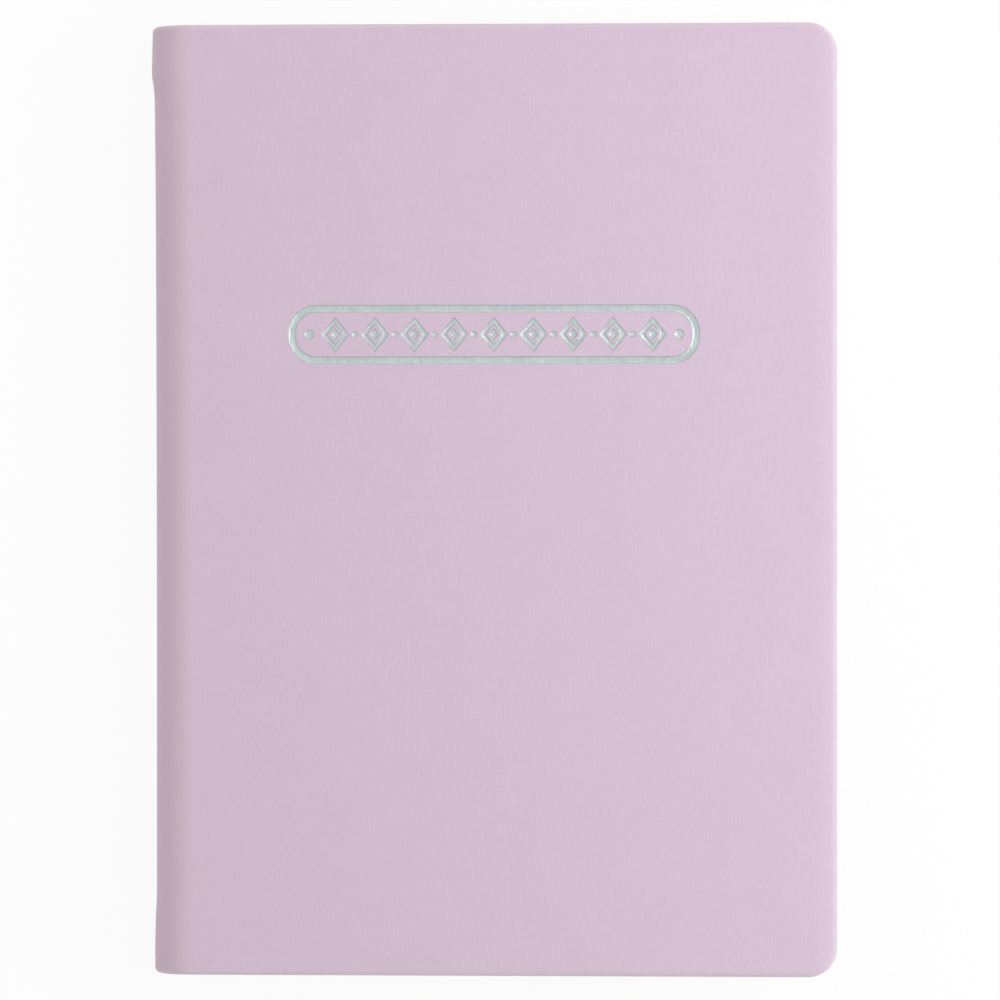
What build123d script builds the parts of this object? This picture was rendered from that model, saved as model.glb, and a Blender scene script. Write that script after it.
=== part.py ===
"""Hard-cover address book with a step-cut thumb index, lying closed on its back cover.

Millimetres. X runs from the spine (-X) to the fore edge (+X), Y from tail to head, Z up.
The origin is the middle of the closed book's footprint, at the level it rests on.
"""
from build123d import *
from math import cos, radians, sin
import os

# Closed book
BOOK_HEIGHT = 178.0
BOOK_WIDTH = 128.9
CORNER_RADIUS = 5.4

# Case: cloth over board, with a thin flexible strip down the spine
CLOTH = 0.4
BOARD = 1.6
STRIP = 0.5
PASTEDOWN = 0.2
TURN_IN = 13.0
EDGE_ROUNDING = 1.0
SPINE_ROUNDING = 7.4
SPINE_FLAT = 0.3
HEAD_SWELL = 0.95
TAIL_SWELL = 0.35
SWELL_LENGTH = 11.0
SWELL_EASE = 7.0
BOARD_SETBACK = 1.0
PASTEDOWN_MARGIN = 2.5

# Text block
INDEX_NAMES = ("ab", "cd", "ef", "gh", "ij", "kl", "mn", "op", "qr", "st", "uv", "wx", "yz")
SECTION = 0.9
FLYLEAF = 0.2
SQUARE = 3.0
TAB_DEPTH = 8.0
TAB_ROUNDING = 2.0

# Sewn and lined back
GLUE = 0.3
MULL = 0.25
MULL_SHORT = 9.0
LINING_INSET = 0.6
HOLLOW_WALL = 0.25
BACK_TO_JOINT = 4.2
THREAD_WIDTH = 0.6
THREAD_DEPTH = 0.4
THREAD_PITCH = 30.0
THREAD_STATIONS = 5
BAND_WIDTH = 1.5
BAND_HEIGHT = 1.2
BAND_ROUNDING = 0.5

# Foil stamped into the front cloth
FOIL = 0.1
DEBOSS = 0.15
CAPSULE_X = 0.45
CAPSULE_Y = 30.9
CAPSULE_LENGTH = 76.9
CAPSULE_HEIGHT = 11.0
CAPSULE_STROKE = 1.35
CAPSULE_END_FLAT = 0.6
DOT_INSET = 3.85
DOT_DIAMETER = 1.8
DOT_TO_ROW = 2.3
LOZENGE_COUNT = 9
LOZENGE_LENGTH = 5.2
LOZENGE_CLEARANCE = 0.9
LOZENGE_STROKE = 0.85
LOZENGE_GAP = 0.5
BEAD_DIAMETER = 1.2

# Levels and lines that follow from the sizes above
SECTION_COUNT = len(INDEX_NAMES)
COVER = CLOTH + BOARD + CLOTH + PASTEDOWN
SECTIONS_HEIGHT = SECTION_COUNT * SECTION
BOOK_THICKNESS = 2 * (COVER + FLYLEAF) + SECTIONS_HEIGHT
HALF_HEIGHT = BOOK_HEIGHT / 2
FORE_EDGE = BOOK_WIDTH / 2
SPINE_X = -BOOK_WIDTH / 2 + HEAD_SWELL
ROUNDING_X = SPINE_X + SPINE_ROUNDING
JOINT_X = ROUNDING_X + SPINE_FLAT
BACK_X = JOINT_X - BACK_TO_JOINT
SECTIONS_BOTTOM = COVER + FLYLEAF
SECTIONS_TOP = SECTIONS_BOTTOM + SECTIONS_HEIGHT
PAGE_HALF = HALF_HEIGHT - SQUARE
PAGE_FORE = FORE_EDGE - SQUARE
TAB_PITCH = 2 * PAGE_HALF / SECTION_COUNT
STRIP_INNER = CLOTH + STRIP
TURNED_INNER = STRIP_INNER + CLOTH
STRIP_HALF = HALF_HEIGHT - CLOTH
SWELL_START = HALF_HEIGHT - SWELL_LENGTH
EASE_START = SWELL_START - SWELL_EASE
MULL_OUTER = BACK_X - GLUE - MULL
CAPSULE_CORNER = (CAPSULE_HEIGHT - CAPSULE_END_FLAT) / 2
DOT_X = CAPSULE_LENGTH / 2 - DOT_INSET
LOZENGE_HEIGHT = CAPSULE_HEIGHT - 2 * (CAPSULE_STROKE + LOZENGE_CLEARANCE)
LOZENGE_PITCH = (2 * (DOT_X - DOT_TO_ROW) - LOZENGE_LENGTH) / (LOZENGE_COUNT - 1)


def block(x0, x1, y0, y1, z0, z1):
    """Rectangular solid between the given limits."""
    middle = ((x0 + x1) / 2, (y0 + y1) / 2, (z0 + z1) / 2)
    return Pos(*middle) * Box(x1 - x0, y1 - y0, z1 - z0)


def cover_plan(inset):
    """Outline of a cover from the joint to the fore edge, with its two fore-edge corners rounded."""
    x0 = JOINT_X
    x1 = FORE_EDGE - inset
    half = HALF_HEIGHT - inset
    plan = Pos((x0 + x1) / 2, 0) * Rectangle(x1 - x0, 2 * half)
    corners = plan.vertices().group_by(Axis.X)[-1]
    return fillet(corners, CORNER_RADIUS - inset)


def board_bed():
    """Space that the cloth of the back cover wraps round."""
    return extrude(Pos(0, 0, CLOTH) * cover_plan(CLOTH), amount=BOARD)


def turn_in_window(z0, z1, shrink=0.0):
    """Space left bare between the three turn-ins, open at the joint."""
    half = HALF_HEIGHT - TURN_IN - shrink
    return block(JOINT_X, FORE_EDGE - TURN_IN - shrink, -half, half, z0, z1)


def cover_board():
    """Grey board of the back cover, set back from the joint."""
    return board_bed() - block(JOINT_X, JOINT_X + BOARD_SETBACK, -HALF_HEIGHT, HALF_HEIGHT, 0, COVER)


def cover_cloth():
    """Cloth of the back cover: the outside, three rounded rims and the turn-ins inside."""
    top = CLOTH + BOARD + CLOTH
    slab = extrude(cover_plan(0), amount=top)
    levels = slab.faces().sort_by(Axis.Z)
    rims = levels[0].edges() + levels[-1].edges()
    wrap = fillet([rim for rim in rims if rim.center().X > JOINT_X + EDGE_ROUNDING], EDGE_ROUNDING)
    return wrap - board_bed() - turn_in_window(CLOTH + BOARD, top)


def cover_pastedown():
    """Paper pasted inside the back cover, stepping down from the turn-ins into the window."""
    low = CLOTH + BOARD
    x0 = JOINT_X + BOARD_SETBACK
    x1 = FORE_EDGE - PASTEDOWN_MARGIN
    half = HALF_HEIGHT - PASTEDOWN_MARGIN
    plan = Pos((x0 + x1) / 2, 0) * Rectangle(x1 - x0, 2 * half)
    plan = fillet(plan.vertices().group_by(Axis.X)[-1], CORNER_RADIUS - PASTEDOWN_MARGIN)
    sheet = extrude(Pos(0, 0, COVER - PASTEDOWN) * plan, amount=PASTEDOWN)
    sheet += turn_in_window(low, COVER) - block(JOINT_X, x0, -half, half, low, COVER)
    return sheet - turn_in_window(low + PASTEDOWN, COVER, PASTEDOWN)


def to_front(shape):
    """The matching piece of the front cover, mirrored through the middle of the thickness."""
    return mirror(shape, about=Plane.XY.offset(BOOK_THICKNESS / 2))


def spine_profile(outer, inner, swell, y):
    """Section of a layer wrapped round the spine, between two depths below the outside."""
    plane = Plane(origin=(0, y, 0), x_dir=(1, 0, 0), z_dir=(0, -1, 0))
    centre_x = ROUNDING_X - swell
    diagonal = radians(45)

    def half_wrap(depth):
        radius = SPINE_ROUNDING - depth
        high = BOOK_THICKNESS - SPINE_ROUNDING
        bow = (centre_x - radius * cos(diagonal), high + radius * sin(diagonal))
        dip = (centre_x - radius * cos(diagonal), SPINE_ROUNDING - radius * sin(diagonal))
        points = [
            (JOINT_X, BOOK_THICKNESS - depth),
            (centre_x, BOOK_THICKNESS - depth),
            (centre_x - radius, high),
            (centre_x - radius, SPINE_ROUNDING),
            (centre_x, depth),
            (JOINT_X, depth),
        ]
        edges = [
            Line(points[0], points[1]),
            ThreePointArc(points[1], bow, points[2]),
            Line(points[2], points[3]),
            ThreePointArc(points[3], dip, points[4]),
            Line(points[4], points[5]),
        ]
        return points, edges

    outer_points, outer_edges = half_wrap(outer)
    inner_points, inner_edges = half_wrap(inner)
    ends = [Line(outer_points[0], inner_points[0]), Line(outer_points[-1], inner_points[-1])]
    return plane * make_face(outer_edges + inner_edges + ends)


def spine_run(outer, inner, swell, y0, y1):
    """Straight run of a spine layer."""
    return extrude(spine_profile(outer, inner, swell, y1), amount=y1 - y0, dir=(0, -1, 0))


def spine_ease(outer, inner, swell, y_flush, y_swollen):
    """Stretch where a spine layer eases out to the swell."""
    flush = spine_profile(outer, inner, 0, y_flush)
    swollen = spine_profile(outer, inner, swell, y_swollen)
    return loft([flush, swollen], ruled=True)


def spine_layer(outer, inner, half):
    """Whole spine layer, swollen at head and tail."""
    layer = spine_run(outer, inner, 0, -EASE_START, EASE_START)
    layer += spine_ease(outer, inner, HEAD_SWELL, EASE_START, SWELL_START)
    layer += spine_ease(outer, inner, TAIL_SWELL, -EASE_START, -SWELL_START)
    layer += spine_run(outer, inner, HEAD_SWELL, SWELL_START, half)
    layer += spine_run(outer, inner, TAIL_SWELL, -half, -SWELL_START)
    return layer


def spine_cloth():
    """Cloth round the spine, turned in over the strip at head and tail: that makes the swell."""
    cloth = spine_layer(0, CLOTH, HALF_HEIGHT)
    cloth += spine_run(CLOTH, TURNED_INNER, HEAD_SWELL, STRIP_HALF, HALF_HEIGHT)
    cloth += spine_run(CLOTH, TURNED_INNER, TAIL_SWELL, -HALF_HEIGHT, -STRIP_HALF)
    cloth += spine_run(STRIP_INNER, TURNED_INNER, HEAD_SWELL, SWELL_START, STRIP_HALF)
    cloth += spine_run(STRIP_INNER, TURNED_INNER, TAIL_SWELL, -STRIP_HALF, -SWELL_START)
    return cloth


def spine_strip():
    """Thin card between the spine cloth and its turn-ins."""
    return spine_layer(CLOTH, STRIP_INNER, STRIP_HALF)


def hollow_tube():
    """Flattened paper tube that joins the lined back of the block to the spine strip."""
    x0 = SPINE_X + STRIP_INNER
    x1 = MULL_OUTER
    z0 = SPINE_ROUNDING
    z1 = BOOK_THICKNESS - SPINE_ROUNDING
    wall = HOLLOW_WALL
    tube = block(x0, x1, -EASE_START, EASE_START, z0, z1)
    return tube - block(x0 + wall, x1 - wall, -EASE_START, EASE_START, z0 + wall, z1 - wall)


def back_lining(x0, x1, half):
    """Flat layer on the back of the sewn sections."""
    return block(x0, x1, -half, half, SECTIONS_BOTTOM + LINING_INSET, SECTIONS_TOP - LINING_INSET)


def thread_runs():
    """Sewing thread across the back, one run at each sewing station."""
    x1 = BACK_X + THREAD_DEPTH
    runs = []
    for station in range(THREAD_STATIONS):
        y = (station - (THREAD_STATIONS - 1) / 2) * THREAD_PITCH
        y0 = y - THREAD_WIDTH / 2
        runs.append(block(BACK_X, x1, y0, y0 + THREAD_WIDTH, SECTIONS_BOTTOM, SECTIONS_TOP))
    return runs


def section_bottom(index):
    """Level of the underside of a section, counted from the front of the book."""
    return SECTIONS_TOP - (index + 1) * SECTION


def section_folds():
    """Sewn folds of the sections, bound in between the back and the joint line."""
    folds = []
    for index in range(SECTION_COUNT):
        z0 = section_bottom(index)
        fold = block(BACK_X, JOINT_X, -PAGE_HALF, PAGE_HALF, z0, z0 + SECTION)
        for run in thread_runs():
            fold -= run
        folds.append(fold)
    return Compound(children=folds)


def page_plan():
    """Outline of the leaves from the joint line to the fore edge."""
    plan = Pos((JOINT_X + PAGE_FORE) / 2, 0) * Rectangle(PAGE_FORE - JOINT_X, 2 * PAGE_HALF)
    return fillet(plan.vertices().group_by(Axis.X)[-1], CORNER_RADIUS)


def index_section(index):
    """Leaves of one pair of letters: the fore-edge strip is cut away below their own tab."""
    plan = page_plan()
    tab_foot = PAGE_HALF - (index + 1) * TAB_PITCH
    if index < SECTION_COUNT - 1:
        x0 = PAGE_FORE - TAB_DEPTH
        cut = Pos((x0 + FORE_EDGE) / 2, (tab_foot - HALF_HEIGHT) / 2)
        plan -= cut * Rectangle(FORE_EDGE - x0, tab_foot + HALF_HEIGHT)
        tip = plan.vertices().sort_by_distance((PAGE_FORE, tab_foot, 0))[0]
        plan = fillet(tip, TAB_ROUNDING)
    return extrude(Pos(0, 0, section_bottom(index)) * plan, amount=SECTION)


def flyleaf(z0):
    """Free endpaper."""
    return extrude(Pos(0, 0, z0) * page_plan(), amount=FLYLEAF)


def end_band(side):
    """Woven bead on the back edge of the block, at the head (side 1) or the tail (side -1)."""
    y_near = side * PAGE_HALF
    y_far = side * (PAGE_HALF + BAND_HEIGHT)
    z0 = SECTIONS_BOTTOM
    z1 = SECTIONS_TOP
    band = block(BACK_X, BACK_X + BAND_WIDTH, min(y_near, y_far), max(y_near, y_far), z0, z1)
    rims = [edge for edge in band.edges().filter_by(Axis.Z) if abs(edge.center().Y - y_far) < FOIL]
    return fillet(rims, BAND_ROUNDING)


def stamped(sketch, depth):
    """Stamped area of the front cover, from the bottom of the deboss up by the given depth."""
    return extrude(Pos(CAPSULE_X, CAPSULE_Y, BOOK_THICKNESS - DEBOSS) * sketch, amount=depth)


def frame_sketch():
    """Capsule outline."""
    outer = RectangleRounded(CAPSULE_LENGTH, CAPSULE_HEIGHT, CAPSULE_CORNER)
    inner_length = CAPSULE_LENGTH - 2 * CAPSULE_STROKE
    inner_height = CAPSULE_HEIGHT - 2 * CAPSULE_STROKE
    return outer - RectangleRounded(inner_length, inner_height, CAPSULE_CORNER - CAPSULE_STROKE)


def dots_sketch():
    """Dots at the two ends inside the capsule."""
    return [Pos(side * DOT_X, 0) * Circle(DOT_DIAMETER / 2) for side in (-1, 1)]


def lozenge(length, height):
    """Solid lozenge, from its diagonals."""
    corners = [(length / 2, 0), (0, height / 2), (-length / 2, 0), (0, -height / 2)]
    return make_face(Polyline(corners, close=True))


def lozenge_within(inset):
    """Lozenge of the row, made smaller all round."""
    side = (LOZENGE_LENGTH**2 + LOZENGE_HEIGHT**2) ** 0.5
    length = LOZENGE_LENGTH - 2 * inset * side / LOZENGE_HEIGHT
    return lozenge(length, length * LOZENGE_HEIGHT / LOZENGE_LENGTH)


def ornament_sketch():
    """Row of lozenge outlines, each with a solid heart, and a bead between each two."""
    ring = lozenge_within(0) - lozenge_within(LOZENGE_STROKE)
    heart = lozenge_within(LOZENGE_STROKE + LOZENGE_GAP)
    first = -(LOZENGE_COUNT - 1) / 2 * LOZENGE_PITCH
    row = []
    for step in range(LOZENGE_COUNT):
        place = Pos(first + step * LOZENGE_PITCH, 0)
        row += [place * ring, place * heart]
    for step in range(LOZENGE_COUNT - 1):
        row.append(Pos(first + (step + 0.5) * LOZENGE_PITCH, 0) * Circle(BEAD_DIAMETER / 2))
    return row


def front_foil():
    """Foil pieces and the front cloth with their beds pressed into it."""
    cloth = to_front(cover_cloth())
    sketches = {
        "foil_frame": [frame_sketch()],
        "foil_dots": dots_sketch(),
        "foil_ornament": ornament_sketch(),
    }
    pieces = {}
    for name, shapes in sketches.items():
        for shape in shapes:
            cloth -= stamped(shape, 2 * DEBOSS)
        pieces[name] = Compound(children=[stamped(shape, FOIL) for shape in shapes])
    pieces["front_cover_cloth"] = cloth
    return pieces


def book():
    """Every piece of the book, by name."""
    pieces = front_foil()
    pieces["front_board"] = to_front(cover_board())
    pieces["front_pastedown"] = to_front(cover_pastedown())
    pieces["back_cover_cloth"] = cover_cloth()
    pieces["back_board"] = cover_board()
    pieces["back_pastedown"] = cover_pastedown()
    pieces["spine_cloth"] = spine_cloth()
    pieces["spine_strip"] = spine_strip()
    pieces["hollow_tube"] = hollow_tube()
    pieces["mull"] = back_lining(MULL_OUTER, BACK_X - GLUE, PAGE_HALF - MULL_SHORT)
    pieces["spine_glue"] = back_lining(BACK_X - GLUE, BACK_X, PAGE_HALF)
    pieces["section_folds"] = section_folds()
    pieces["sewing_thread"] = Compound(children=thread_runs())
    pieces["headband"] = end_band(1)
    pieces["tailband"] = end_band(-1)
    pieces["front_flyleaf"] = flyleaf(SECTIONS_TOP)
    pieces["back_flyleaf"] = flyleaf(COVER)
    for index, letters in enumerate(INDEX_NAMES):
        pieces["index_section_" + letters] = index_section(index)
    return pieces


os.makedirs("parts", exist_ok=True)
for node, shape in book().items():
    export_step(shape, f"parts/{node}.step")
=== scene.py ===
"""Dressed address book: cloth case, stamped foil, turning leaves with a step-cut index."""
import math

import bmesh
import bpy
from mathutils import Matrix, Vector


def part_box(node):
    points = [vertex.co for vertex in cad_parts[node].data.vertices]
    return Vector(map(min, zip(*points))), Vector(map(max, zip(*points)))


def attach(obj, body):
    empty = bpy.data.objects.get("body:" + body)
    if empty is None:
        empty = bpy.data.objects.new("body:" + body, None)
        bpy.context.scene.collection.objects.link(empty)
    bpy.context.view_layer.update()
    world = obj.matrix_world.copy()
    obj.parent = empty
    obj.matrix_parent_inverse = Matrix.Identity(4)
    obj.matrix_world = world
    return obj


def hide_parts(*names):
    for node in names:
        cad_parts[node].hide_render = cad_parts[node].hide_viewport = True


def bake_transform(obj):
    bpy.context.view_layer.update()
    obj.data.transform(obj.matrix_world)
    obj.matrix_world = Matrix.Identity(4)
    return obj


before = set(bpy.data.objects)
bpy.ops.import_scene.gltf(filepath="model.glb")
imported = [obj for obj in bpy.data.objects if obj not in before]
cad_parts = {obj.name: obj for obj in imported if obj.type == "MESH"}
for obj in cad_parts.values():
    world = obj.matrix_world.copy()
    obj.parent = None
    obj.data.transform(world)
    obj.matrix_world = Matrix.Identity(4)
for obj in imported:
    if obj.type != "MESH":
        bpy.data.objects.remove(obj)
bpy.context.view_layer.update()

# Places taken from the frame, in metres
MM = 0.001
TINY = 1e-6
FLAT_PLACE = "flat_place"
LETTERS = ("ab", "cd", "ef", "gh", "ij", "kl", "mn", "op", "qr", "st", "uv", "wx", "yz")
COVER_LOW, COVER_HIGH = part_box("front_cover_cloth")
BOARD_LOW, BOARD_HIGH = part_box("front_board")
PAGE_LOW, PAGE_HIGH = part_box("index_section_yz")
THREAD_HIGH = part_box("sewing_thread")[1]
FOIL_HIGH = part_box("foil_frame")[1]
JOINT_X = COVER_LOW.x
FORE_EDGE = COVER_HIGH.x
HALF_HEIGHT = COVER_HIGH.y
TOP = COVER_HIGH.z
CLOTH = COVER_HIGH.z - BOARD_HIGH.z
COVER_DEPTH = COVER_HIGH.z - COVER_LOW.z
MIDDLE = TOP / 2

# Case
CORNER_RADIUS = 5.4 * MM
CORNER_SEGMENTS = 14
RIM_RADIUS = 1.0 * MM
RIM_SEGMENTS = 6
FACE_MARGIN = 0.4 * MM
SOFT_REACH = 5.0 * MM
SOFT_DROP = 0.12 * MM
SOFT_STEPS = 6
BED_CUT = 4 * (TOP - FOIL_HIGH.z)
BED_ROUNDING = 0.08 * MM
DISH_LIFT = 0.8 * (TOP - FOIL_HIGH.z)
DISH_SLOPE = 0.2 * MM
DISH_DEPTH = 0.1 * MM
SPINE_FLAT = 0.3 * MM
TURN_IN = 13.0 * MM
FLAP = 2.0 * MM
FLAP_STEPS = 8
FLAP_ROUNDING = 0.95 * MM
HEAD_SWELL = 0.95 * MM
TAIL_SWELL = 0.35 * MM
HEAD_SWELL_LINE = ((89.1, 0.82), (81.0, 1.0), (80.0, 1.0), (79.2, 0.91), (78.3, 0.72), (76.4, 0.52),
                   (75.0, 0.45), (72.0, 0.40), (60.8, 0.28), (50.0, 0.21), (31.7, 0.13), (5.0, 0.05),
                   (-24.0, 0.0))
TAIL_SWELL_LINE = ((-72.5, 0.0), (-74.7, 0.07), (-76.6, 0.31), (-78.5, 0.63), (-80.3, 0.71), (-82.2, 0.84),
                   (-84.1, 0.95), (-89.1, 0.9))
SWELL_LINE = [(y * MM, share * HEAD_SWELL) for y, share in HEAD_SWELL_LINE]
SWELL_LINE += [(y * MM, share * TAIL_SWELL) for y, share in TAIL_SWELL_LINE]
SWELL_END = 78.0 * MM
SPINE_END = 1.3 * MM
SPINE_RADIUS = JOINT_X - SPINE_FLAT - HEAD_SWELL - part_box("spine_cloth")[0].x
ARC_SIDES = 96
ARC_CENTRE_X = JOINT_X - SPINE_FLAT
ARC_CENTRE_Z = TOP - SPINE_RADIUS

# Leaves
LEAVES_PER_SECTION = 9
LEAF_SHARE = 0.86
TAB_DEPTH = 8.0 * MM
TAB_RADIUS = 2.0 * MM
TAB_SEGMENTS = 5
PAGE_CORNER_SEGMENTS = 10
GUTTER_BEND = 15.0 * MM
GUTTER_STEPS = 12
HINGE_REACH = 2.4 * MM
HINGE_LAP = 0.3 * MM
HINGE_STEPS = 12
LETTER_SIZE = 4.6 * MM
LETTER_LIFT = 0.012 * MM
LETTER_LEADING = 0.95
BAND_SIDES = 20
BAND_THREADS = 24
BAND_WAIST = 0.86
RULE_PITCH = 8.0 * MM
RULE_WIDTH = 0.22 * MM
RULE_GUTTER = 12.0 * MM
RULE_TAB_GAP = 4.0 * MM
RULE_HEAD = 18.0 * MM
RULE_TAIL = 12.0 * MM
RULE_SHIFT = 1.0
STRIPE_PITCH = 1.95 * MM
PAGE_TALL = PAGE_HIGH.y - PAGE_LOW.y
TAB_PITCH = PAGE_TALL / len(LETTERS)


# Modelling steps shared by the pieces

def edit(piece):
    """Opens a piece in edit mode, alone."""
    bpy.ops.object.select_all(action="DESELECT")
    bpy.context.view_layer.objects.active = piece
    piece.select_set(True)
    bpy.ops.object.mode_set(mode="EDIT")


def leave():
    """Back to object mode."""
    bpy.ops.object.mode_set(mode="OBJECT")


def middle(element):
    """Middle of a vertex, edge or face."""
    if isinstance(element, bmesh.types.BMVert):
        return element.co
    return sum((vert.co for vert in element.verts), Vector()) / len(element.verts)


def choose(piece, kind, test):
    """Selects the vertices, edges or faces of a piece in edit mode that pass a test."""
    bpy.ops.mesh.select_mode(type=kind)
    bpy.ops.mesh.select_all(action="DESELECT")
    mesh = bmesh.from_edit_mesh(piece.data)
    elements = {"VERT": mesh.verts, "EDGE": mesh.edges, "FACE": mesh.faces}[kind]
    for element in elements:
        if test(element):
            element.select_set(True)
    bmesh.update_edit_mesh(piece.data)


def cut(axis, place, **clear):
    """Cuts all of the open mesh by a plane across one axis."""
    bpy.ops.mesh.select_all(action="SELECT")
    normal = [0.0, 0.0, 0.0]
    normal[axis] = 1.0
    point = [0.0, 0.0, 0.0]
    point[axis] = place
    bpy.ops.mesh.bisect(plane_co=point, plane_no=normal, **clear)


def settle(piece, name):
    """Puts a piece's place into its mesh and names it."""
    bpy.ops.object.select_all(action="DESELECT")
    bpy.context.view_layer.objects.active = piece
    piece.select_set(True)
    bpy.ops.object.transform_apply(location=True, rotation=True, scale=True)
    piece.name = name
    piece.data.name = name
    return piece


def started(name):
    """The primitive that was just added, with its place in its mesh."""
    return settle(bpy.context.object, name)


def copied(piece, name):
    """A copy of a piece with a mesh of its own."""
    twin = piece.copy()
    twin.data = piece.data.copy()
    bpy.context.scene.collection.objects.link(twin)
    twin.name = name
    twin.data.name = name
    return twin


def finish_with(piece, kind, **settings):
    """Adds a modifier to a piece and applies it."""
    bpy.ops.object.select_all(action="DESELECT")
    bpy.context.view_layer.objects.active = piece
    piece.select_set(True)
    modifier = piece.modifiers.new(kind.lower(), kind)
    for setting, value in settings.items():
        setattr(modifier, setting, value)
    bpy.ops.object.modifier_apply(modifier=modifier.name)


def smooth(piece, angle=35):
    """Shades a piece smooth, apart from its sharp edges."""
    bpy.ops.object.select_all(action="DESELECT")
    bpy.context.view_layer.objects.active = piece
    piece.select_set(True)
    bpy.ops.object.shade_smooth_by_angle(angle=math.radians(angle))


def keep_flat_place(piece):
    """Notes where each point lies in the closed book, for finishes that follow what bends."""
    places = piece.data.attributes.new(FLAT_PLACE, "FLOAT_VECTOR", "POINT")
    for vert in piece.data.vertices:
        places.data[vert.index].vector = vert.co


def to_back(piece, name):
    """A copy of a front piece for the back cover, mirrored through the middle of the thickness."""
    twin = copied(piece, name)
    edit(twin)
    bpy.ops.mesh.select_all(action="SELECT")
    bpy.ops.transform.mirror(constraint_axis=(False, False, True), center_override=(0, 0, MIDDLE))
    bpy.ops.mesh.normals_make_consistent(inside=False)
    leave()
    return twin


# Case

def cover_slab():
    """Cloth-covered front board: rounded fore-edge corners, rounded rims, turn-ins inside."""
    low = Vector((JOINT_X + FLAP, -HALF_HEIGHT, COVER_LOW.z))
    high = Vector((FORE_EDGE, HALF_HEIGHT, TOP))
    bpy.ops.mesh.primitive_cube_add(size=1, location=(low + high) / 2, scale=high - low)
    slab = started("front_cover_shell")
    edit(slab)
    choose(slab, "EDGE", lambda e: middle(e).x > FORE_EDGE - TINY and abs(middle(e).y) > HALF_HEIGHT - TINY)
    bpy.ops.mesh.bevel(offset=CORNER_RADIUS, segments=CORNER_SEGMENTS, affect="EDGES")
    choose(slab, "EDGE", lambda e: is_rim(e, low.x))
    bpy.ops.mesh.bevel(offset=RIM_RADIUS, segments=RIM_SEGMENTS, affect="EDGES")
    choose(slab, "FACE", lambda f: abs(f.normal.z) > 0.999)
    bpy.ops.mesh.inset(thickness=FACE_MARGIN, use_boundary=True)
    soften_fore_edge(slab)
    choose(slab, "FACE", lambda f: f.normal.z < -0.99 and abs(middle(f).z - low.z) < TINY)
    window_fore = FORE_EDGE - TURN_IN
    window_half = HALF_HEIGHT - TURN_IN
    for side in (-1, 1):
        bpy.ops.mesh.bisect(plane_co=(0, side * window_half, 0), plane_no=(0, 1, 0))
        choose(slab, "FACE", lambda f: f.normal.z < -0.99 and abs(middle(f).z - low.z) < TINY)
    bpy.ops.mesh.bisect(plane_co=(window_fore, 0, 0), plane_no=(1, 0, 0))
    choose(slab, "FACE", lambda f: f.normal.z < -0.99 and middle(f).x < window_fore
           and abs(middle(f).y) < window_half / 2)
    bpy.ops.mesh.extrude_region_move(TRANSFORM_OT_translate={"value": (0, 0, CLOTH)})
    leave()
    return slab


def soften_fore_edge(slab):
    """Lets the outside fall off a little towards the fore edge."""
    for step in range(1, SOFT_STEPS):
        cut(0, FORE_EDGE - RIM_RADIUS - (SOFT_REACH - RIM_RADIUS) * step / SOFT_STEPS)
    mesh = bmesh.from_edit_mesh(slab.data)
    for vert in mesh.verts:
        along = (vert.co.x - FORE_EDGE + SOFT_REACH) / SOFT_REACH
        depth = (vert.co.z - TOP + RIM_RADIUS) / RIM_RADIUS
        if along > 0 and depth > 0:
            vert.co.z -= SOFT_DROP * along * along * depth
    bmesh.update_edit_mesh(slab.data)


def is_rim(edge, spine_side):
    """Whether an edge runs round the head, fore edge or tail of the slab."""
    a, b = edge.verts
    level = abs(a.co.z - b.co.z) < TINY
    at_spine = a.co.x < spine_side + TINY and b.co.x < spine_side + TINY
    return level and not at_spine


def swell(y):
    """How far the spine stands out at a height: cloth turned in at both ends, easing to the middle."""
    for (upper, more), (lower, less) in zip(SWELL_LINE, SWELL_LINE[1:]):
        if lower <= y <= upper:
            return less + (more - less) * (y - lower) / (upper - lower)
    return 0.0


def on_spine_outside(place):
    """Whether a point lies on the outer skin of the front half of the spine."""
    lean = swell(place.y)
    reach = math.hypot(place.x - ARC_CENTRE_X + lean, place.z - ARC_CENTRE_Z)
    on_arc = place.x < ARC_CENTRE_X and place.z > ARC_CENTRE_Z and reach > SPINE_RADIUS - CLOTH / 2
    on_top = place.z > TOP - CLOTH / 2
    on_back = place.x < ARC_CENTRE_X - SPINE_RADIUS - lean + CLOTH / 2
    return on_arc or on_top or on_back


def skin_depth(place):
    """Thickness of the spine cloth: turned in at head and tail, and filled up to the board there."""
    if abs(place.y) < SWELL_END - TINY:
        return CLOTH
    past_joint = min(max((place.x - JOINT_X) / (BOARD_LOW.x - JOINT_X), 0), 1)
    return SPINE_END + (COVER_DEPTH - SPINE_END) * past_joint


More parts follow.
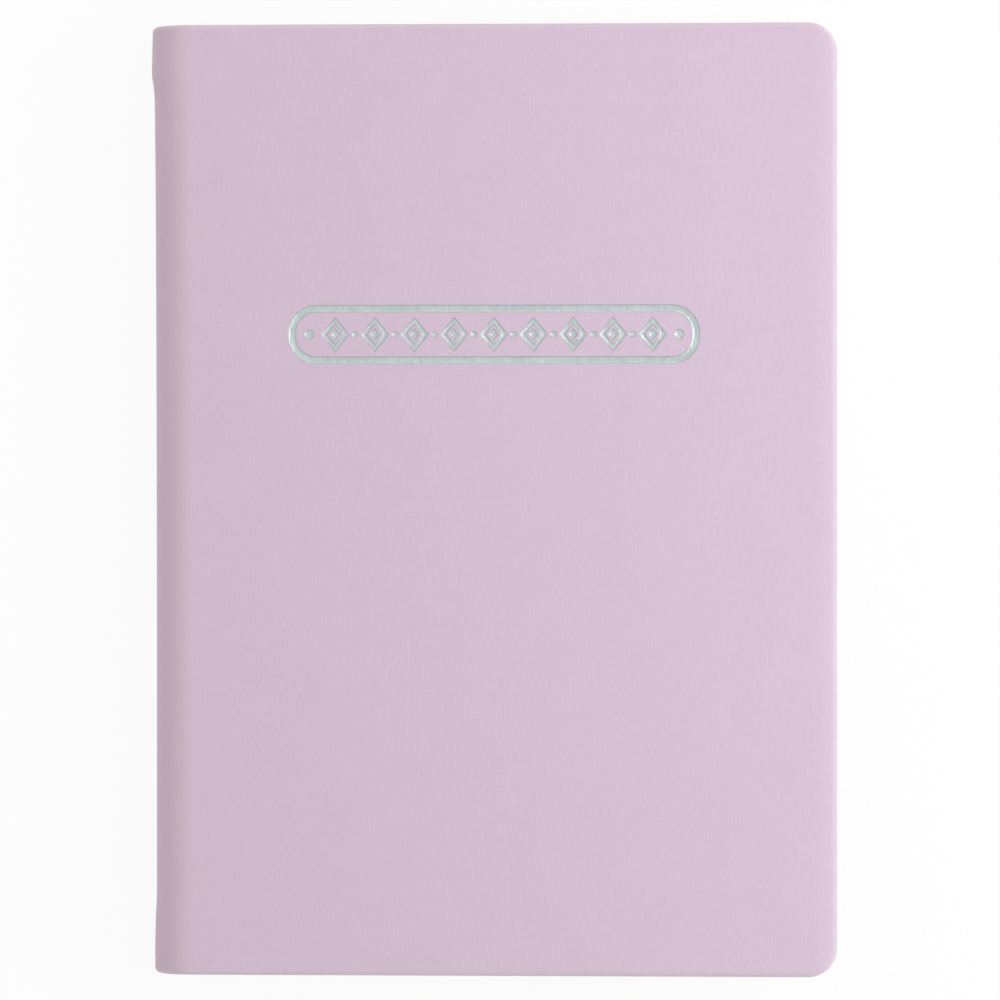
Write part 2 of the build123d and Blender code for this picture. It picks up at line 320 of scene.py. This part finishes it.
def spine_half():
    """Front half of the spine cloth, from the middle of the back over the rounded edge to the joint."""
    bpy.ops.mesh.primitive_cylinder_add(
        vertices=ARC_SIDES, radius=SPINE_RADIUS, depth=2 * HALF_HEIGHT, end_fill_type="NOTHING",
        location=(ARC_CENTRE_X, 0, ARC_CENTRE_Z), rotation=(math.pi / 2, 0, 0))
    skin = started("front_spine_cloth")
    edit(skin)
    cut(0, ARC_CENTRE_X, clear_outer=True)
    cut(2, ARC_CENTRE_Z, clear_inner=True)
    choose(skin, "EDGE", lambda e: min(v.co.z for v in e.verts) > TOP - TINY)
    bpy.ops.mesh.extrude_region_move(TRANSFORM_OT_translate={"value": (SPINE_FLAT, 0, 0)})
    for _ in range(FLAP_STEPS):
        bpy.ops.mesh.extrude_region_move(TRANSFORM_OT_translate={"value": (FLAP / FLAP_STEPS, 0, 0)})
    choose(skin, "EDGE", lambda e: max(v.co.z for v in e.verts) < ARC_CENTRE_Z + TINY)
    bpy.ops.mesh.extrude_region_move(TRANSFORM_OT_translate={"value": (0, 0, MIDDLE - ARC_CENTRE_Z)})
    rings = [y for y, _ in SWELL_LINE[1:-1]]
    for ring in rings:
        cut(1, ring)
    for height in [HALF_HEIGHT, -HALF_HEIGHT] + rings:
        lean = swell(height)
        choose(skin, "VERT", lambda v: abs(v.co.y - height) < TINY and v.co.x < ARC_CENTRE_X + TINY)
        bpy.ops.transform.translate(value=(-lean, 0, 0))
    bpy.ops.mesh.select_all(action="SELECT")
    bpy.ops.mesh.remove_doubles(threshold=TINY)
    bpy.ops.mesh.normals_make_consistent(inside=False)
    leave()
    if max(skin.data.polygons, key=lambda face: face.center.z).normal.z < 0:
        edit(skin)
        bpy.ops.mesh.select_all(action="SELECT")
        bpy.ops.mesh.flip_normals()
        leave()
    thickness = skin.vertex_groups.new(name="thickness")
    for vert in skin.data.vertices:
        thickness.add([vert.index], skin_depth(vert.co) / COVER_DEPTH, "REPLACE")
    finish_with(skin, "SOLIDIFY", thickness=COVER_DEPTH, offset=-1, vertex_group="thickness")
    edit(skin)
    choose(skin, "EDGE", lambda e: all(abs(v.co.y) > HALF_HEIGHT - TINY and on_spine_outside(v.co)
                                       for v in e.verts))
    bpy.ops.mesh.bevel(offset=RIM_RADIUS, segments=RIM_SEGMENTS, affect="EDGES")
    choose(skin, "EDGE", is_flap_rim)
    bpy.ops.mesh.bevel(offset=FLAP_ROUNDING, segments=RIM_SEGMENTS, affect="EDGES")
    leave()
    return skin


def is_flap_rim(edge):
    """Whether an edge runs along the inner rim at head or tail, beside the board."""
    return all(abs(v.co.y) > HALF_HEIGHT - TINY and v.co.x > BOARD_LOW.x - TINY
               and v.co.z < COVER_LOW.z + TINY for v in edge.verts)


def foil_piece(node):
    """Stamped foil: the outline of its bed, dished where the die pressed it."""
    foil = copied(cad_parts[node], node + "_stamped")
    foil.parent = None
    for key in list(foil.keys()):
        del foil[key]
    edit(foil)
    bpy.ops.mesh.customdata_custom_splitnormals_clear()
    bpy.ops.mesh.select_all(action="SELECT")
    bpy.ops.mesh.remove_doubles(threshold=TINY)
    bpy.ops.mesh.dissolve_limited(angle_limit=math.radians(1))
    leave()
    return foil


def bed_cutter(foils):
    """One solid that presses the beds of the foil pieces into the cloth."""
    parts = [copied(foil, "bed") for foil in foils]
    for part in parts:
        edit(part)
        choose(part, "VERT", lambda v: v.co.z > FOIL_HIGH.z - TINY)
        bpy.ops.transform.translate(value=(0, 0, BED_CUT))
        leave()
    bpy.ops.object.select_all(action="DESELECT")
    for part in parts:
        part.select_set(True)
    bpy.context.view_layer.objects.active = parts[0]
    bpy.ops.object.join()
    return parts[0]


def press_beds(slab, foils):
    """Presses the beds of the foil into the front cover."""
    cutter = bed_cutter(foils)
    finish_with(slab, "BOOLEAN", operation="DIFFERENCE", object=cutter, solver="EXACT")
    bpy.data.objects.remove(cutter)
    edit(slab)
    choose(slab, "EDGE", is_bed_edge)
    bpy.ops.mesh.bevel(offset=BED_ROUNDING, segments=2, affect="EDGES")
    leave()


def is_bed_edge(edge):
    """Whether an edge is the upper rim of a foil bed."""
    level = all(vert.co.z > TOP - TINY for vert in edge.verts)
    on_face = middle(edge).x > JOINT_X + FLAP + RIM_RADIUS
    return level and on_face and any(abs(face.normal.z) < 0.1 for face in edge.link_faces)


def dish(foil):
    """Raises the rim of a foil piece to the cloth and leaves its middle pressed in, with the rim marked for
    the foil's painted shade.
    """
    edit(foil)
    choose(foil, "FACE", lambda f: f.normal.z > 0.99)
    bpy.ops.transform.translate(value=(0, 0, DISH_LIFT))
    bpy.ops.mesh.inset(thickness=DISH_SLOPE)
    bpy.ops.transform.translate(value=(0, 0, -DISH_DEPTH))
    leave()
    rim = foil.data.attributes.new("rim", "FLOAT", "POINT")
    middle_level = FOIL_HIGH.z + DISH_LIFT - DISH_DEPTH
    for vert in foil.data.vertices:
        rim.data[vert.index].value = 0.0 if abs(vert.co.z - middle_level) < TINY else 1.0


# Text block

def plain_sheet(name, low, high):
    """A flat sheet between two corners, on the level the book rests on."""
    bpy.ops.mesh.primitive_plane_add(size=1, location=((low + high) / 2).xy.to_3d())
    bpy.context.object.scale = (high.x - low.x, high.y - low.y, 1)
    return started(name)


def leaf(name, low, high, tab_foot, fore_corners):
    """One sheet from the sewn back to the fore edge, with rounded corners and its index step cut."""
    sheet = plain_sheet(name, low, high)
    edit(sheet)
    for step in range(GUTTER_STEPS + 1):
        cut(0, JOINT_X + GUTTER_BEND * step / GUTTER_STEPS)
    corners = [Vector((high.x, side * high.y)) for side in fore_corners]
    if tab_foot is not None:
        cut(0, high.x - TAB_DEPTH)
        cut(1, tab_foot)
        choose(sheet, "FACE", lambda f: middle(f).x > high.x - TAB_DEPTH and middle(f).y < tab_foot)
        bpy.ops.mesh.delete(type="FACE")
        tip = Vector((high.x, tab_foot))
        choose(sheet, "VERT", lambda v: (v.co.xy - tip).length < TINY)
        bpy.ops.mesh.bevel(offset=TAB_RADIUS, segments=TAB_SEGMENTS, affect="VERTICES")
    choose(sheet, "VERT", lambda v: any((v.co.xy - corner).length < TINY for corner in corners))
    bpy.ops.mesh.bevel(offset=CORNER_RADIUS, segments=PAGE_CORNER_SEGMENTS, affect="VERTICES")
    bpy.ops.mesh.select_all(action="SELECT")
    bpy.ops.transform.translate(value=(0, 0, low.z))
    leave()
    return sheet


def stack(sheet, count, pitch):
    """Gives a sheet its thickness and stacks copies of it."""
    finish_with(sheet, "SOLIDIFY", thickness=LEAF_SHARE * pitch, offset=1)
    if count > 1:
        finish_with(sheet, "ARRAY", count=count, use_relative_offset=False, use_constant_offset=True,
                    constant_offset_displace=(0, 0, pitch))
    keep_flat_place(sheet)
    return sheet


def section_leaves(index):
    """The leaves of one pair of letters."""
    node = "index_section_" + LETTERS[index]
    low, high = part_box(node)
    low.x = THREAD_HIGH.x
    last = index == len(LETTERS) - 1
    tab_foot = None if last else PAGE_HIGH.y - (index + 1) * TAB_PITCH
    corners = (-1, 1) if last else (1,)
    sheet = leaf("leaves_" + LETTERS[index], low, high, tab_foot, corners)
    stack(sheet, LEAVES_PER_SECTION, (high.z - low.z) / LEAVES_PER_SECTION)
    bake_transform(sheet)
    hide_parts(node, "section_folds")
    return sheet


def free_endpaper(node):
    """A flyleaf, tipped on to the block beside the joint."""
    low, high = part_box(node)
    low.x = THREAD_HIGH.x
    sheet = leaf(node + "_sheet", low, high, None, (-1, 1))
    stack(sheet, 1, high.z - low.z)
    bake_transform(sheet)
    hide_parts(node)
    return sheet


def endpaper_hinge(side):
    """The strip of an endpaper that crosses the joint, from the sewn back to the pastedown."""
    low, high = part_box(side + "_pastedown")
    high.x = low.x + HINGE_LAP
    low.x = JOINT_X - HINGE_REACH
    strip = plain_sheet(side + "_endpaper_hinge", low, high)
    edit(strip)
    for step in range(1, HINGE_STEPS):
        cut(0, low.x + (high.x - low.x) * step / HINGE_STEPS)
    bpy.ops.mesh.select_all(action="SELECT")
    bpy.ops.transform.translate(value=(0, 0, low.z))
    leave()
    stack(strip, 1, high.z - low.z)
    smooth(strip)
    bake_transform(strip)
    return strip


def tab_letters(index):
    """The two index letters of a section, printed on its tab."""
    node = "index_section_" + LETTERS[index]
    low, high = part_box(node)
    tab_middle = PAGE_HIGH.y - (index + 0.5) * TAB_PITCH
    bpy.ops.object.text_add()
    text = bpy.context.object
    text.data.body = "\n".join(LETTERS[index].upper())
    text.data.size = LETTER_SIZE
    text.data.align_x = "CENTER"
    text.data.align_y = "CENTER"
    text.data.space_line = LETTER_LEADING
    text.data.resolution_u = 3
    bpy.ops.object.convert(target="MESH")
    printed = bpy.context.object
    top = low.z + (high.z - low.z) * (LEAVES_PER_SECTION - 1 + LEAF_SHARE) / LEAVES_PER_SECTION
    printed.location = (high.x - TAB_DEPTH / 2, tab_middle, top + LETTER_LIFT)
    settle(printed, "letters_" + LETTERS[index])
    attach(printed, node)
    return printed


def end_band(node):
    """Woven bead at the head or tail of the back."""
    low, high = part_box(node)
    place = (low + high) / 2
    wide = high - low
    bpy.ops.mesh.primitive_cylinder_add(vertices=BAND_SIDES, radius=0.5, depth=1, location=place, scale=wide)
    band = started(node + "_bead")
    edit(band)
    for step in range(1, BAND_THREADS):
        cut(2, low.z + wide.z * step / BAND_THREADS)
    for step in range(1, BAND_THREADS, 2):
        level = low.z + wide.z * step / BAND_THREADS
        choose(band, "VERT", lambda v: abs(v.co.z - level) < TINY)
        bpy.ops.transform.resize(value=(BAND_WAIST, BAND_WAIST, 1), center_override=place)
    leave()
    smooth(band, 60)
    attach(band, "bound_back")
    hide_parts(node)
    return band


# Finishes

class Wire:
    """A shader value that takes part in plain arithmetic."""

    def __init__(self, nodes, socket):
        self.nodes = nodes
        self.socket = socket

    def out(self, name):
        """Another output of the same node."""
        return Wire(self.nodes, self.socket.node.outputs[name])

    def math(self, operation, *values):
        return self.nodes.add("ShaderNodeMath", {"operation": operation}, list(values))

    def __add__(self, other):
        return self.math("ADD", self, other)

    def __radd__(self, other):
        return self.math("ADD", other, self)

    def __sub__(self, other):
        return self.math("SUBTRACT", self, other)

    def __rsub__(self, other):
        return self.math("SUBTRACT", other, self)

    def __mul__(self, other):
        return self.math("MULTIPLY", self, other)

    def __rmul__(self, other):
        return self.math("MULTIPLY", other, self)

    def __truediv__(self, other):
        return self.math("DIVIDE", self, other)

    def __gt__(self, other):
        return self.math("GREATER_THAN", self, other)

    def __lt__(self, other):
        return self.math("LESS_THAN", self, other)

    def __mod__(self, other):
        return self.math("FLOORED_MODULO", self, other)


class Nodes:
    """A node tree, built up node by node."""

    def __init__(self, tree):
        self.tree = tree

    def add(self, kind, settings, inputs, output=0):
        node = self.tree.nodes.new(kind)
        for setting, value in settings.items():
            setattr(node, setting, value)
        pairs = enumerate(inputs) if isinstance(inputs, list) else inputs.items()
        for socket, value in pairs:
            self.feed(node.inputs[socket], value)
        return Wire(self, node.outputs[output])

    def feed(self, socket, value):
        if isinstance(value, Wire):
            self.tree.links.new(value.socket, socket)
        else:
            socket.default_value = value

    def looked_at(self):
        """1 for the camera and for what mirrors or clear surfaces show, 0 for light on other things."""
        path = self.add("ShaderNodeLightPath", {}, {})
        seen = path.out("Is Camera Ray") + path.out("Is Glossy Ray") + path.out("Is Transmission Ray")
        return seen.math("MINIMUM", seen, 1.0)


class Finish(Nodes):
    """A material with one Principled shader."""

    def __init__(self, name, follows_bends=False):
        self.material = bpy.data.materials.new(name)
        self.material.use_nodes = True
        super().__init__(self.material.node_tree)
        self.shader = self.tree.nodes["Principled BSDF"]
        if follows_bends:
            self.place = self.add("ShaderNodeAttribute", {"attribute_name": FLAT_PLACE}, {}, "Vector")
        else:
            self.place = self.add("ShaderNodeTexCoord", {}, {}, "Object")

    def set(self, **values):
        for name, value in values.items():
            self.feed(self.shader.inputs[name.replace("_", " ")], value)

    def noise(self, scale, detail=3.0, roughness=0.55):
        """Noise with its own scale along X, Y and Z, per metre."""
        stretched = self.add("ShaderNodeVectorMath", {"operation": "MULTIPLY"}, [self.place, scale])
        return self.add("ShaderNodeTexNoise", {},
                        {"Vector": stretched, "Scale": 1.0, "Detail": detail, "Roughness": roughness})

    def mix(self, share, low, high):
        """Mix of two colours by a share between 0 and 1."""
        return self.add("ShaderNodeMix", {"data_type": "RGBA"}, {"Factor": share, 6: low, 7: high}, 2)

    def axes(self):
        """X, Y and Z of the place on the piece."""
        parts = self.add("ShaderNodeSeparateXYZ", {}, [self.place])
        return [parts.out(axis) for axis in range(3)]

    def rise(self, value, start, end):
        """0 before the start, 1 after the end and a soft step between them."""
        settings = {"interpolation_type": "SMOOTHSTEP"}
        return self.add("ShaderNodeMapRange", settings, {"Value": value, "From Min": start, "From Max": end})

    def bump(self, height, distance, strength=1.0):
        """Surface relief of a height from 0 to 1, in metres."""
        self.set(Normal=self.add("ShaderNodeBump", {},
                                 {"Height": height, "Distance": distance, "Strength": strength}))


def rim_share(finish, width):
    """0 on the face of a cover, rising to 1 at its outline."""
    x, y, _ = finish.axes()
    beside = x.math("MAXIMUM", x - (FORE_EDGE - CORNER_RADIUS), 0.0)
    above = y.math("MAXIMUM", y.math("ABSOLUTE", y) - (HALF_HEIGHT - CORNER_RADIUS), 0.0)
    reach = x.math("SQRT", beside * beside + above * above)
    return finish.rise(reach, CORNER_RADIUS - width, CORNER_RADIUS)


def cover_cloth_finish():
    """Matt lilac cover cloth: upright threads, mottling, dark specks, rims paled by painted sheen with some
    rubbed wear, painted light towards the fore edge, a darker greener band at the very fore edge and a
    duller spine.
    """
    cloth = Finish("lilac_cover_cloth", follows_bends=True)
    upright = cloth.noise((2600.0, 420.0, 2600.0), 2.0)
    across = cloth.noise((300.0, 3000.0, 300.0), 2.0)
    mottle = cloth.noise((110.0, 110.0, 110.0), 4.0)
    threads = 0.65 * upright + 0.35 * across
    tone = cloth.mix(0.72 * threads + 0.28 * mottle, CLOTH_DARK, CLOTH_LIGHT)
    x, _, _ = cloth.axes()
    spine = 1.0 - cloth.rise(x, JOINT_X - SPINE_TONE_BACK, JOINT_X + SPINE_TONE_FORE)
    tone = cloth.mix(0.45 * spine, tone, CLOTH_SPINE)
    # Painted sheen: the rims are paled as a white surround would light them at a grazing angle, made uneven
    # like rubbed wear.
    painted_rim_sheen_and_wear = rim_share(cloth, RIM_SHEEN_AND_WEAR_REACH) * (0.3 + 0.4 * mottle)
    # Painted light: the cloth grows paler towards the fore edge, where the key lamp falls more fully on the
    # falling surface.
    painted_fore_edge_light = 0.22 * cloth.rise(x, FORE_EDGE - FORE_EDGE_LIGHT_REACH, FORE_EDGE)
    tone = cloth.mix(x.math("MAXIMUM", painted_rim_sheen_and_wear, painted_fore_edge_light), tone, CLOTH_PAINTED_LIGHT_AND_WEAR)
    # A darker, greener band along the very fore edge.
    fore_edge_band = 0.42 * cloth.rise(x, FORE_EDGE - FORE_EDGE_BAND_REACH, FORE_EDGE - FORE_EDGE_BAND_FULL)
    tone = cloth.mix(fore_edge_band, tone, CLOTH_FORE_EDGE_BAND)
    cells = cloth.add("ShaderNodeTexVoronoi", {},
                      {"Vector": cloth.place, "Scale": SPECKS_PER_METRE}, "Distance")
    specks = cells < SPECK_SIZE
    cloth.set(Base_Color=cloth.mix(0.55 * specks, tone, CLOTH_SPECK), Roughness=0.78 - 0.12 * threads)
    cloth.shader.inputs["Specular IOR Level"].default_value = 0.35
    cloth.shader.inputs["Sheen Weight"].default_value = 0.2
    cloth.shader.inputs["Sheen Roughness"].default_value = 0.45
    cloth.bump(threads, CLOTH_RELIEF, 0.6)
    return cloth.material


def foil_finish():
    """Silver foil with a cool green cast, grainy and blotchy, with painted shade on the sloped rims of its
    strokes.
    """
    foil = Finish("silver_foil")
    grain = foil.noise((1900.0, 800.0, 1900.0), 3.0, 0.65)
    blotch = foil.noise((350.0, 350.0, 350.0), 2.0)
    share = 0.6 * grain + 0.4 * blotch
    rim = foil.add("ShaderNodeAttribute", {"attribute_name": "rim"}, {}, "Fac")
    # Painted shade: the sloped rim of each dished stroke is darkened, as shade on its walls.
    tone = foil.mix(rim * (0.35 + 0.5 * grain), foil.mix(share, FOIL_DARK, FOIL_LIGHT), FOIL_RIM_PAINTED_SHADE)
    foil.set(Base_Color=tone, Metallic=0.6, Roughness=0.22 + 0.25 * blotch)
    foil.bump(grain, FOIL_RELIEF, 0.9)
    return foil.material


def paper_finish(name, low, high, ruled, follows_bends):
    """Uncoated paper with fine fibres, and faint ruling where asked."""
    paper = Finish(name, follows_bends)
    fibre = paper.noise((900.0, 1400.0, 300.0), 4.0)
    cloud = paper.noise((45.0, 45.0, 45.0), 3.0)
    tone = paper.mix(0.5 * fibre + 0.5 * cloud, low, high)
    if ruled:
        x, y, _ = paper.axes()
        line = ((y + RULE_SHIFT) % RULE_PITCH) < RULE_WIDTH
        within = (x > JOINT_X + RULE_GUTTER) * (x < PAGE_HIGH.x - TAB_DEPTH - RULE_TAB_GAP)
        body = (y < PAGE_HIGH.y - RULE_HEAD) * (y > PAGE_LOW.y + RULE_TAIL)
        tone = paper.mix(0.55 * line * within * body, tone, RULE_INK)
        tab = x > PAGE_HIGH.x - TAB_DEPTH
        tone = paper.mix(0.75 * tab, tone, TAB_TINT)
    paper.set(Base_Color=tone, Roughness=0.82 + 0.1 * fibre)
    paper.shader.inputs["Specular IOR Level"].default_value = 0.25
    paper.bump(fibre, PAPER_RELIEF, 0.5)
    return paper.material


def ink_finish():
    """Printing ink of the index letters."""
    ink = Finish("index_ink")
    spread = ink.noise((3000.0, 3000.0, 3000.0), 2.0)
    ink.set(Base_Color=ink.mix(spread, INK_DARK, INK_LIGHT), Roughness=0.6 + 0.2 * spread)
    return ink.material


def fibre_finish(name, low, high, scale, relief, roughness):
    """Plain fibrous stuff: board, kraft paper, gauze, thread or dried glue."""
    stuff = Finish(name)
    fibre = stuff.noise(scale, 4.0)
    stuff.set(Base_Color=stuff.mix(fibre, low, high), Roughness=roughness + 0.15 * fibre)
    stuff.bump(fibre, relief, 0.7)
    return stuff.material


def band_finish():
    """Woven band with lilac and white threads by turns."""
    band = Finish("band_silk")
    _, _, z = band.axes()
    stripe = (z % STRIPE_PITCH) < STRIPE_PITCH / 2
    fibre = band.noise((2500.0, 2500.0, 2500.0), 2.0)
    tone = band.mix(stripe, BAND_WHITE, BAND_LILAC)
    band.set(Base_Color=band.mix(0.25 * fibre, tone, BAND_SHADE), Roughness=0.5 + 0.2 * fibre)
    band.bump(fibre, BAND_RELIEF, 0.6)
    return band.material


def wear(piece, material):
    """Gives a piece one finish all over."""
    piece.data.materials.clear()
    piece.data.materials.append(material)


# Reach of the cloth's tones, relief and colours

SPINE_TONE_BACK = 4.0 * MM
SPINE_TONE_FORE = 3.0 * MM
# Width of the painted sheen on the rims.
RIM_SHEEN_AND_WEAR_REACH = 1.1 * MM
# Reach of the painted light towards the fore edge.
FORE_EDGE_LIGHT_REACH = 6.0 * MM
FORE_EDGE_BAND_REACH = 0.8 * MM
FORE_EDGE_BAND_FULL = 0.1 * MM
SPECKS_PER_METRE = 42.0
SPECK_SIZE = 0.012
CLOTH_RELIEF = 0.05 * MM
FOIL_RELIEF = 0.12 * MM
PAPER_RELIEF = 0.02 * MM
BAND_RELIEF = 0.04 * MM
CLOTH_DARK = (0.585, 0.448, 0.560, 1)
CLOTH_LIGHT = (0.690, 0.545, 0.672, 1)
CLOTH_SPINE = (0.660, 0.505, 0.555, 1)
# Pale grey for the painted sheen on the rims and the painted light at the fore edge, partly rubbed wear.
CLOTH_PAINTED_LIGHT_AND_WEAR = (0.740, 0.660, 0.720, 1)
# Darker greenish grey of the band along the very fore edge.
CLOTH_FORE_EDGE_BAND = (0.46, 0.50, 0.48, 1)
CLOTH_SPECK = (0.20, 0.14, 0.18, 1)
FOIL_DARK = (0.32, 0.395, 0.39, 1)
FOIL_LIGHT = (0.635, 0.71, 0.705, 1)
# Grey of the painted shade on the foil's sloped rims.
FOIL_RIM_PAINTED_SHADE = (0.24, 0.26, 0.27, 1)
PAGE_DARK = (0.80, 0.77, 0.69, 1)
PAGE_LIGHT = (0.91, 0.89, 0.83, 1)
ENDPAPER_DARK = (0.82, 0.79, 0.76, 1)
ENDPAPER_LIGHT = (0.92, 0.90, 0.88, 1)
RULE_INK = (0.42, 0.36, 0.45, 1)
TAB_TINT = (0.72, 0.60, 0.71, 1)
INK_DARK = (0.10, 0.07, 0.10, 1)
INK_LIGHT = (0.20, 0.15, 0.20, 1)
BAND_WHITE = (0.86, 0.82, 0.84, 1)
BAND_LILAC = (0.52, 0.36, 0.50, 1)
BAND_SHADE = (0.4, 0.33, 0.4, 1)
BOARD_DARK = (0.33, 0.31, 0.28, 1)
BOARD_LIGHT = (0.50, 0.48, 0.44, 1)
KRAFT_DARK = (0.42, 0.30, 0.18, 1)
KRAFT_LIGHT = (0.60, 0.46, 0.31, 1)
MULL_DARK = (0.70, 0.66, 0.57, 1)
MULL_LIGHT = (0.88, 0.85, 0.77, 1)
GLUE_DARK = (0.74, 0.70, 0.58, 1)
GLUE_LIGHT = (0.88, 0.85, 0.75, 1)
THREAD_DARK = (0.76, 0.72, 0.63, 1)
THREAD_LIGHT = (0.92, 0.89, 0.82, 1)


# Making

CLOTH_FINISH = cover_cloth_finish()
FOIL_FINISH = foil_finish()
PAGE_FINISH = paper_finish("page_paper", PAGE_DARK, PAGE_LIGHT, True, True)
ENDPAPER_FINISH = paper_finish("endpaper", ENDPAPER_DARK, ENDPAPER_LIGHT, False, False)
FLYLEAF_FINISH = paper_finish("flyleaf_paper", ENDPAPER_DARK, ENDPAPER_LIGHT, False, True)
INK_FINISH = ink_finish()
BAND_FINISH = band_finish()
BOARD_FINISH = fibre_finish("grey_board", BOARD_DARK, BOARD_LIGHT, (700, 700, 700), 5e-5, 0.8)
KRAFT_FINISH = fibre_finish("kraft_paper", KRAFT_DARK, KRAFT_LIGHT, (500, 900, 500), 3e-5, 0.75)
MULL_FINISH = fibre_finish("mull_gauze", MULL_DARK, MULL_LIGHT, (1500, 1500, 1500), 1e-4, 0.8)
GLUE_FINISH = fibre_finish("binding_glue", GLUE_DARK, GLUE_LIGHT, (300, 300, 300), 5e-5, 0.4)
THREAD_FINISH = fibre_finish("linen_thread", THREAD_DARK, THREAD_LIGHT, (2000, 2000, 600), 1e-4, 0.7)

front_shell = cover_slab()
back_shell = to_back(front_shell, "back_cover_shell")
foils = [foil_piece(node) for node in ("foil_frame", "foil_dots", "foil_ornament")]
press_beds(front_shell, foils)
for foil, node in zip(foils, ("foil_frame", "foil_dots", "foil_ornament")):
    dish(foil)
    smooth(foil, 50)
    wear(foil, FOIL_FINISH)
    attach(foil, "front_cover")
    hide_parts(node)
front_spine = spine_half()
back_spine = to_back(front_spine, "back_spine_cloth")
for shell, body in ((front_shell, "front_cover"), (back_shell, "back_cover")):
    smooth(shell)
    finish_with(shell, "WEIGHTED_NORMAL", weight=100, keep_sharp=True)
    keep_flat_place(shell)
    wear(shell, CLOTH_FINISH)
    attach(shell, body)
    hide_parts(body + "_cloth")
for skin, body in ((front_spine, "front_cover"), (back_spine, "back_cover")):
    smooth(skin)
    keep_flat_place(skin)
    wear(skin, CLOTH_FINISH)
    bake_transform(skin)
    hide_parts("spine_cloth")
for index in range(len(LETTERS)):
    wear(section_leaves(index), PAGE_FINISH)
    wear(tab_letters(index), INK_FINISH)
for node in ("front_flyleaf", "back_flyleaf"):
    wear(free_endpaper(node), FLYLEAF_FINISH)
for side in ("front", "back"):
    wear(endpaper_hinge(side), FLYLEAF_FINISH)
for node in ("headband", "tailband"):
    wear(end_band(node), BAND_FINISH)
for node, material in {
    "front_board": BOARD_FINISH, "back_board": BOARD_FINISH, "spine_strip": BOARD_FINISH,
    "front_pastedown": ENDPAPER_FINISH, "back_pastedown": ENDPAPER_FINISH, "hollow_tube": KRAFT_FINISH,
    "mull": MULL_FINISH, "spine_glue": GLUE_FINISH, "sewing_thread": THREAD_FINISH,
}.items():
    wear(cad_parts[node], material)


# Studio

PICTURE_SIZE = 1000
PHOTO_SCALE = 0.18675 * MM
FORE_EDGE_COLUMN = 836.5
MIDDLE_ROW = 499.8
PHOTO_MIDDLE = Vector((FORE_EDGE - (FORE_EDGE_COLUMN - PICTURE_SIZE / 2) * PHOTO_SCALE,
                       (MIDDLE_ROW - PICTURE_SIZE / 2) * PHOTO_SCALE, TOP))
CAMERA_DISTANCE = 1.1
CAMERA_LEAN = math.radians(2.95)
SENSOR = 36.0
FLOOR_SIZE = 6
FLOOR_GAP = 0.1 * MM
FLOOR_GLOW = 0.9
SURROUND_LIGHT = 0.615
LAMPS = {
    "key_lamp": {"place": Vector((0.42, 0.03, 0.35)), "size": 0.4, "power": 1.75},
    "fill_lamp": {"place": Vector((-0.6, 0.0, 0.35)), "size": 0.5, "power": 0.3},
    "head_lamp": {"place": Vector((0.05, 0.62, 0.5)), "size": 0.2, "power": 0.55},
}


def pale_floor():
    """White ground that stays white to the camera but keeps a soft shadow."""
    bpy.ops.mesh.primitive_plane_add(size=FLOOR_SIZE, location=(0, 0, -FLOOR_GAP))
    floor = bpy.context.object
    floor.name = "floor"
    ground = Finish("pale_floor")
    ground.set(Base_Color=(0.9, 0.9, 0.9, 1), Roughness=1.0, Specular_IOR_Level=0.0)
    glow = ground.add("ShaderNodeEmission", {}, {"Strength": 1.0})
    matt = Wire(ground, ground.shader.outputs[0])
    both = ground.add("ShaderNodeMixShader", {}, [FLOOR_GLOW * ground.looked_at(), matt, glow])
    ground.feed(ground.tree.nodes["Material Output"].inputs["Surface"], both)
    floor.data.materials.append(ground.material)


def studio_light():
    """Soft daylight from the fore edge, weak lamps at the spine and the head, and a pale surround."""
    world = bpy.data.worlds.new("studio")
    bpy.context.scene.world = world
    world.use_nodes = True
    surround = Nodes(world.node_tree)
    background = world.node_tree.nodes["Background"]
    surround.feed(background.inputs["Color"], (1, 1, 1, 1))
    strength = SURROUND_LIGHT + (1 - SURROUND_LIGHT) * surround.looked_at()
    surround.feed(background.inputs["Strength"], strength)
    for name, lamp in LAMPS.items():
        bpy.ops.object.light_add(type="AREA", location=lamp["place"])
        light = bpy.context.object
        light.name = name
        light.data.size = lamp["size"]
        light.data.energy = lamp["power"]
        light.rotation_euler = (-lamp["place"]).to_track_quat("-Z", "Y").to_euler()


def photo_camera():
    """Camera square above the front cover, head up, leaning a little to the fore edge."""
    data = bpy.data.cameras.new("photo_camera")
    camera = bpy.data.objects.new("photo_camera", data)
    bpy.context.scene.collection.objects.link(camera)
    lean = Vector((math.sin(CAMERA_LEAN), 0, math.cos(CAMERA_LEAN)))
    camera.location = PHOTO_MIDDLE + CAMERA_DISTANCE * lean
    camera.rotation_euler = (0, CAMERA_LEAN, 0)
    data.sensor_width = SENSOR
    data.lens = SENSOR * CAMERA_DISTANCE / (PICTURE_SIZE * PHOTO_SCALE)
    data.clip_start = 0.01
    bpy.context.scene.camera = camera


pale_floor()
studio_light()
photo_camera()
bpy.context.scene.view_settings.view_transform = "Standard"
